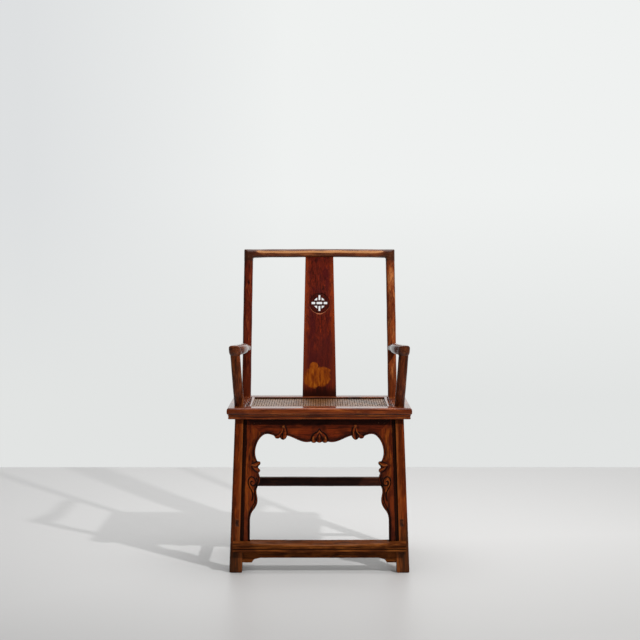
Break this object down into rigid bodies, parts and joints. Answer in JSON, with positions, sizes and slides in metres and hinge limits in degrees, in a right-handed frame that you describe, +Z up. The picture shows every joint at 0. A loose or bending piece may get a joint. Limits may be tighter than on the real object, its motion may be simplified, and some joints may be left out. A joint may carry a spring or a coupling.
{
  "type": "official hat chair",
  "caption": "Traditional hardwood armchair: level crest rail, S-curved arms, tapered splat with round openwork, woven cane seat, carved front arch and worn foot rail.",
  "frame": {"origin": "on the floor, under the middle of the chair's box", "axes": "+Z up; +Y to the back of the chair, which faces -Y; +X to the right of someone who faces the chair"},
  "size_m": [0.59, 0.5445, 1.0334],
  "materials": {
    "frame_wood": "clear worn lacquer on reddish hardwood",
    "splat_wood": "clear worn lacquer on dark red hardwood",
    "seat_wood": "clear worn lacquer, lighter along the edges",
    "apron_wood": "red lacquer stain, dark in the carving",
    "leg_wood": "worn lacquer, brown",
    "foot_rail_wood": "lacquer worn off by feet, greyed",
    "stretcher_wood": "dark lacquer",
    "peg_wood": "end grain",
    "cane": "woven split cane, aged grey-brown",
    "palm_fibre": "woven palm fibre"
  },
  "bodies": {
    "root": {"apron_back": "apron_wood", "apron_front_left": "apron_wood", "apron_front_right": "apron_wood", "apron_front_top": "apron_wood", "apron_left_front": "apron_wood", "apron_left_rear": "apron_wood", "apron_left_top": "apron_wood", "apron_right_front": "apron_wood", "apron_right_rear": "apron_wood", "apron_right_top": "apron_wood", "arm_left": "frame_wood", "arm_post_left": "frame_wood", "arm_post_right": "frame_wood", "arm_right": "frame_wood", "back_splat": "splat_wood", "cane_mat": "cane", "crest_rail": "frame_wood", "foot_rail": "foot_rail_wood", "foot_rail_apron": "foot_rail_wood", "front_leg_left": "leg_wood", "front_leg_right": "leg_wood", "joint_pegs": "peg_wood", "palm_webbing": "palm_fibre", "press_strip_back": "seat_wood", "press_strip_front": "seat_wood", "press_strip_left": "seat_wood", "press_strip_right": "seat_wood", "rear_post_left": "frame_wood", "rear_post_right": "frame_wood", "seat_brace_left": "stretcher_wood", "seat_brace_right": "stretcher_wood", "seat_rail_back": "seat_wood", "seat_rail_front": "seat_wood", "seat_rail_left": "seat_wood", "seat_rail_right": "seat_wood", "stretcher_back": "stretcher_wood", "stretcher_left": "stretcher_wood", "stretcher_right": "stretcher_wood"}
  },
  "joints": []
}
